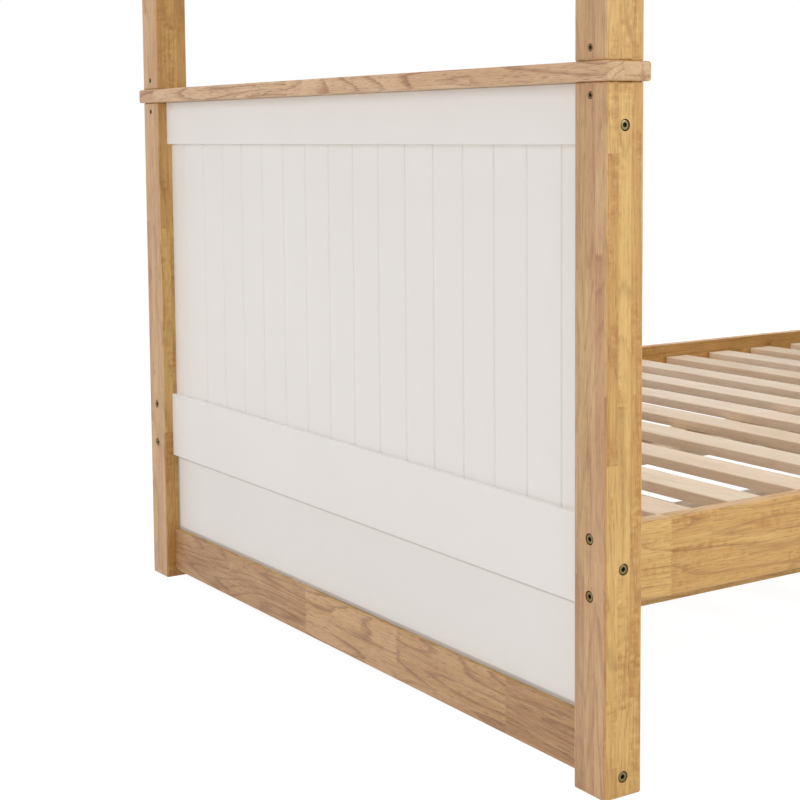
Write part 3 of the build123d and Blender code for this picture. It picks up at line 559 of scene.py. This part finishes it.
def fixing(name, profile):
    """A turned screw along Z with its head's top at Z 0 and a hexagon socket.

    profile lists radius and height, whether the ring is a hexagon, and how dark its painted shade is, tip
    first.
    """
    shape = bmesh.new()
    shade = shape.verts.layers.float.new("painted_recess_shade")
    sixth = math.tau / 6
    rings = []
    for radius, height, hexagon, dark in profile:
        ring = []
        for index in range(FIXING_SIDES):
            angle = math.tau * index / FIXING_SIDES
            across = math.cos((angle + sixth / 2) % sixth - sixth / 2) if hexagon else 1.0
            ring.append(shape.verts.new((radius * math.cos(angle) / across,
                                         radius * math.sin(angle) / across, height)))
            ring[-1][shade] = dark
        rings.append(ring)
    for lower, upper in zip(rings, rings[1:]):
        for index in range(FIXING_SIDES):
            after = (index + 1) % FIXING_SIDES
            shape.faces.new((lower[index], lower[after], upper[after], upper[index]))
    shape.faces.new(rings[0][::-1])
    shape.faces.new(rings[-1])
    mesh = bpy.data.meshes.new(name)
    shape.to_mesh(mesh)
    shape.free()
    mesh.shade_smooth()
    mesh.set_sharp_from_angle(angle=math.radians(SHARP_EDGE))
    piece = bpy.data.objects.new(name, mesh)
    bpy.context.scene.collection.objects.link(piece)
    return piece


def fixing_tree():
    """Sets one turned fixing on every point, along the point's own direction, each turned at random."""
    tree = new_geometry_tree("fixings", {
        "Fixing": "Object", "Most Turn": "Float", "Seed": "Int", "Material": "Material"})
    given = add(tree, "NodeGroupInput")
    points = add(tree, "GeometryNodeMeshToPoints", {"Mesh": given["Geometry"]})[0]
    out = add(tree, "GeometryNodeInputNamedAttribute", {"Name": "out"}, data_type="FLOAT_VECTOR")[0]
    aim = add(tree, "FunctionNodeAlignRotationToVector", {"Vector": out}, axis="Z")[0]
    one = add(tree, "GeometryNodeObjectInfo", {"Object": given["Fixing"], "As Instance": True})["Geometry"]
    turn = add(tree, "FunctionNodeRandomValue", {"Max": given["Most Turn"], "Seed": given["Seed"]},
               data_type="FLOAT")[1]
    twist = add(tree, "ShaderNodeCombineXYZ", {2: turn})[0]
    placed = add(tree, "GeometryNodeInstanceOnPoints", {
        "Points": points, "Instance": one, "Rotation": aim})[0]
    turned = add(tree, "GeometryNodeRotateInstances", {"Instances": placed, "Rotation": twist})[0]
    made = add(tree, "GeometryNodeRealizeInstances", {0: turned})[0]
    dressed = add(tree, "GeometryNodeSetMaterial", {"Geometry": made, "Material": given["Material"]})[0]
    add(tree, "NodeGroupOutput", {0: dressed})
    return tree


def screw_ends(points):
    """Where a CAD screw's head is: its top, the way it faces, its radius, and the screw's size."""
    low, high = corners(points)
    size = high - low
    axis = max(range(3), key=lambda index: size[index])
    middle = (low + high) / 2
    ends = []
    for end, sign in ((high, 1), (low, -1)):
        tip = [point for point in points if abs(point[axis] - end[axis]) < HEAD_SEARCH]
        around = [max(abs(point[other] - middle[other]) for point in tip)
                  for other in range(3) if other != axis]
        ends.append((max(around), sign, end))
    radius, sign, end = max(ends, key=lambda found: found[0])
    out = Vector([sign if index == axis else 0.0 for index in range(3)])
    top = middle.copy()
    top[axis] = end[axis]
    return top, out, radius, size[axis]


def drive_fixings(tree, node, make_profile, material):
    """Replaces a CAD node of screws by grown ones of the same sizes."""
    sizes = {}
    for points in solids(node):
        top, out, radius, length = screw_ends(points)
        sizes.setdefault((round(radius, 4), round(length, 4)), []).append((top, out))
    for number, ((radius, length), ends) in enumerate(sorted(sizes.items()), 1):
        one = fixing(node + "_one", make_profile(radius, length))
        values = {"Fixing": one, "Most Turn": math.tau, "Seed": number}
        piece = grow(f"{node}_{number}", tree, values, material,
                     [top for top, _ in ends], [out for _, out in ends])
        bpy.data.objects.remove(one)
        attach(piece, frame["nodes"][node]["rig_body"])
        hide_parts(node)


def bolt_profile(radius, length):
    """A flanged socket bolt: shank, flange, eased rim, domed face and chamfered hexagon."""
    shank, seat = radius * 0.49, -BOLT_HEAD_HEIGHT
    # The last number of each ring is its painted shade, dark in the socket and at the rim
    stem = ((shank * 0.85, -length, 0, 1), (shank, -length + shank * 0.3, 0, 1), (shank, seat, 0, 1))
    flange = ((radius, seat, 0, 1), (radius, -1.4 * MM, 0, 1), (radius - 0.4 * MM, -0.8 * MM, 0, 0.95),
              (radius - 1.2 * MM, -0.4 * MM, 0, 0.7), (radius - 2.2 * MM, -0.1 * MM, 0, 0.1))
    face = ((BOLT_FACE_RADIUS, 0, 0, 0), (BOLT_KEY + 1.0 * MM, -0.1 * MM, 0, 0.5),
            (BOLT_KEY + 0.5 * MM, -0.45 * MM, 1, 0.9))
    socket = ((BOLT_KEY, -0.9 * MM, 1, 0.95), (BOLT_KEY, -BOLT_KEY_DEPTH, 1, 1),
              (0.3 * MM, -BOLT_KEY_DEPTH - 0.6 * MM, 0, 1))
    return stem + flange + face + socket


def screw_profile(radius, length):
    """A wood screw with a flat eased head and a small hexagon socket."""
    shank, head, key = radius * 0.48, radius * 0.48, radius * 0.45
    # The last number of each ring is its painted shade, dark in the socket and at the rim
    stem = ((shank * 0.1, -length, 0, 1), (shank, -length + shank * 3, 0, 1), (shank, -head, 0, 1))
    rim = ((radius, -head, 0, 1), (radius, -0.5 * MM, 0, 1), (radius - 0.35 * MM, -0.15 * MM, 0, 0.85),
           (radius - 1.0 * MM, 0, 0, 0.3))
    socket = ((key + 0.6 * MM, 0, 0, 0.2), (key, -0.3 * MM, 1, 0.9), (key, -head * 0.6, 1, 1),
              (0.2 * MM, -head * 0.75, 0, 1))
    return stem + rim + socket


slats = slat_tree()
for node, seed in (("lower_slats", 3), ("upper_slats", 8), ("trundle_slats", 5)):
    lay_slats(slats, node, seed)

fixings = fixing_tree()
drive_fixings(fixings, "frame_bolts", bolt_profile, bolt_steel)
drive_fixings(fixings, "pin_screws", screw_profile, bolt_steel)
drive_fixings(fixings, "ladder_and_guard_screws", screw_profile, bolt_steel)
drive_fixings(fixings, "slat_screws", screw_profile, zinc)


def set_camera():
    """The camera at the photograph's place, with the framing's shift."""
    yaw, pitch, roll = map(math.radians, (CAMERA_YAW, CAMERA_PITCH, CAMERA_ROLL))
    ahead = Vector((math.cos(yaw) * math.cos(pitch), math.sin(yaw) * math.cos(pitch), -math.sin(pitch)))
    level = Vector((math.sin(yaw), -math.cos(yaw), 0))
    above = level.cross(ahead)
    right = level * math.cos(roll) + above * math.sin(roll)
    up = above * math.cos(roll) - level * math.sin(roll)
    camera = bpy.data.objects.new("camera", bpy.data.cameras.new("camera"))
    camera.data.lens = CAMERA_LENS
    camera.data.sensor_width = CAMERA_SENSOR
    camera.data.shift_y = CAMERA_SHIFT_Y
    camera.data.clip_end = CAMERA_REACH
    turn = Matrix((right, up, -ahead)).transposed().to_4x4()
    camera.matrix_world = Matrix.Translation(CAMERA_PLACE) @ turn
    bpy.context.scene.collection.objects.link(camera)
    bpy.context.scene.camera = camera


def add_soft_box(name, place, target, size, power):
    """A square white lamp at a place, turned to a target."""
    lamp = bpy.data.lights.new(name, "AREA")
    lamp.shape = "SQUARE"
    lamp.size = size
    lamp.energy = power
    box = bpy.data.objects.new(name, lamp)
    box.location = place
    box.rotation_euler = (Vector(target) - Vector(place)).to_track_quat("-Z", "Y").to_euler()
    bpy.context.scene.collection.objects.link(box)


def seen_directly(tree):
    """1 for rays that show the background itself: camera, glossy and transmission rays."""
    path = add(tree, "ShaderNodeLightPath")
    seen = path["Is Camera Ray"]
    for name in ("Is Glossy Ray", "Is Transmission Ray"):
        seen = add(tree, "ShaderNodeMath", {0: seen, 1: path[name]}, operation="MAXIMUM")[0]
    return seen


def set_world():
    """White surroundings that light the bed less than they show."""
    world = bpy.data.worlds.new("studio")
    bpy.context.scene.world = world
    world.use_nodes = True
    tree = world.node_tree
    tree.nodes.clear()
    strength = add(tree, "ShaderNodeMapRange", {"Value": seen_directly(tree), "To Min": WORLD_LIGHT})[0]
    sky = add(tree, "ShaderNodeBackground", {"Color": (1, 1, 1, 1), "Strength": strength})[0]
    add(tree, "ShaderNodeOutputWorld", {"Surface": sky})


def lay_floor():
    """A pale floor that looks white, and keeps the bed's shadow."""
    material, tree = new_material("pale_floor")
    lit = add(tree, "ShaderNodeBsdfDiffuse", {"Color": colour("#E8E6E3")})[0]
    dim = add(tree, "ShaderNodeBsdfDiffuse", {"Color": (FLOOR_SHADE, FLOOR_SHADE, FLOOR_SHADE, 1)})[0]
    glow = add(tree, "ShaderNodeEmission", {"Color": (1, 1, 1, 1), "Strength": FLOOR_GLOW})[0]
    bright = add(tree, "ShaderNodeAddShader", {0: dim, 1: glow})[0]
    shown = add(tree, "ShaderNodeMixShader", {0: seen_directly(tree), 1: lit, 2: bright})[0]
    add(tree, "ShaderNodeOutputMaterial", {"Surface": shown})
    mesh = bpy.data.meshes.new("floor")
    edges = [(x * FLOOR_REACH, y * FLOOR_REACH, 0) for x, y in ((-1, -1), (1, -1), (1, 1), (-1, 1))]
    mesh.from_pydata(edges, [], [(0, 1, 2, 3)])
    mesh.materials.append(material)
    floor = bpy.data.objects.new("floor", mesh)
    bpy.context.scene.collection.objects.link(floor)


set_camera()
set_world()
lay_floor()
for box in SOFT_BOXES:
    add_soft_box(*box)
bpy.context.scene.view_settings.view_transform = "Standard"
